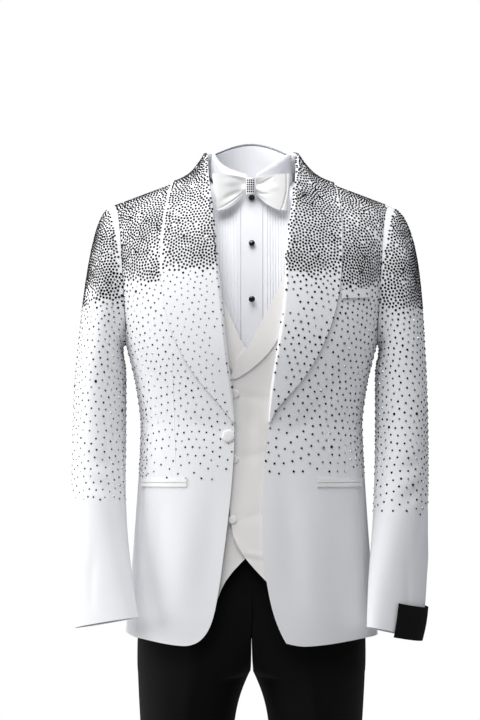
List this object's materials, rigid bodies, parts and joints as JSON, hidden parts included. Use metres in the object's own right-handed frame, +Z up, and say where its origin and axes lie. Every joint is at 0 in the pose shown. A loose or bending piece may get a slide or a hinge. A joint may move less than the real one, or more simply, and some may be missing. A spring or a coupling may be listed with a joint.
{
  "type": "tuxedo",
  "caption": "Worn evening suit: shawl-collared jacket set with small stones, waistcoat, tucked dress shirt, bow tie and full-length trousers, hollow as on a figure.",
  "frame": {"origin": "centre of the neck's base, at the height where the shoulders carry the jacket", "axes": "+Z up, -Y to the front of the wearer, +X to the wearer's left"},
  "size_m": [0.5586, 0.2642, 1.6295],
  "materials": {
    "white_wool": "white worsted suiting, matt, with small faceted stones set on it",
    "white_satin": "white satin facing, soft sheen",
    "ivory_satin": "ivory woven satin, soft sheen",
    "white_cotton": "white cotton poplin, matt, tucked front",
    "black_wool": "black wool suiting, matt",
    "black_enamel": "polished black studs",
    "black_tape": "plain black woven tape",
    "jet_stone": "dark faceted glass stones",
    "clear_stone": "silver-backed faceted glass stones"
  },
  "bodies": {
    "root": {"jacket_front_right": "white_wool", "jacket_side_right": "white_wool", "jacket_back_right": "white_wool", "upper_sleeve_right": "white_wool", "under_sleeve_right": "white_wool", "shawl_right": "white_wool", "hip_jet_upper_right": "white_satin", "hip_jet_lower_right": "white_satin", "waistcoat_front_right": "ivory_satin", "waistcoat_lapel_right": "ivory_satin", "bow_wing_right": "white_satin", "shirt_bib_right": "white_cotton", "shirt_side_right": "white_cotton", "trousers_front_right": "black_wool", "trousers_back_right": "black_wool", "jacket_front_left": "white_wool", "jacket_side_left": "white_wool", "jacket_back_left": "white_wool", "upper_sleeve_left": "white_wool", "under_sleeve_left": "white_wool", "shawl_left": "white_wool", "hip_jet_upper_left": "white_satin", "hip_jet_lower_left": "white_satin", "waistcoat_front_left": "ivory_satin", "waistcoat_lapel_left": "ivory_satin", "bow_wing_left": "white_satin", "shirt_bib_left": "white_cotton", "shirt_side_left": "white_cotton", "trousers_front_left": "black_wool", "trousers_back_left": "black_wool", "breast_welt": "white_wool", "jacket_button": "white_satin", "cuff_label": "black_tape", "waistcoat_back": "ivory_satin", "waistcoat_button_upper": "ivory_satin", "shirt_stud_upper": "black_enamel", "waistcoat_button_middle": "ivory_satin", "shirt_stud_middle": "black_enamel", "waistcoat_button_lower": "ivory_satin", "shirt_stud_lower": "black_enamel", "shirt_back": "white_cotton", "shirt_placket": "white_cotton", "shirt_collar_stand": "white_cotton", "shirt_collar_leaf": "white_cotton", "bow_band": "white_satin", "bow_knot": "white_satin", "trousers_waistband": "black_wool"}
  },
  "joints": []
}
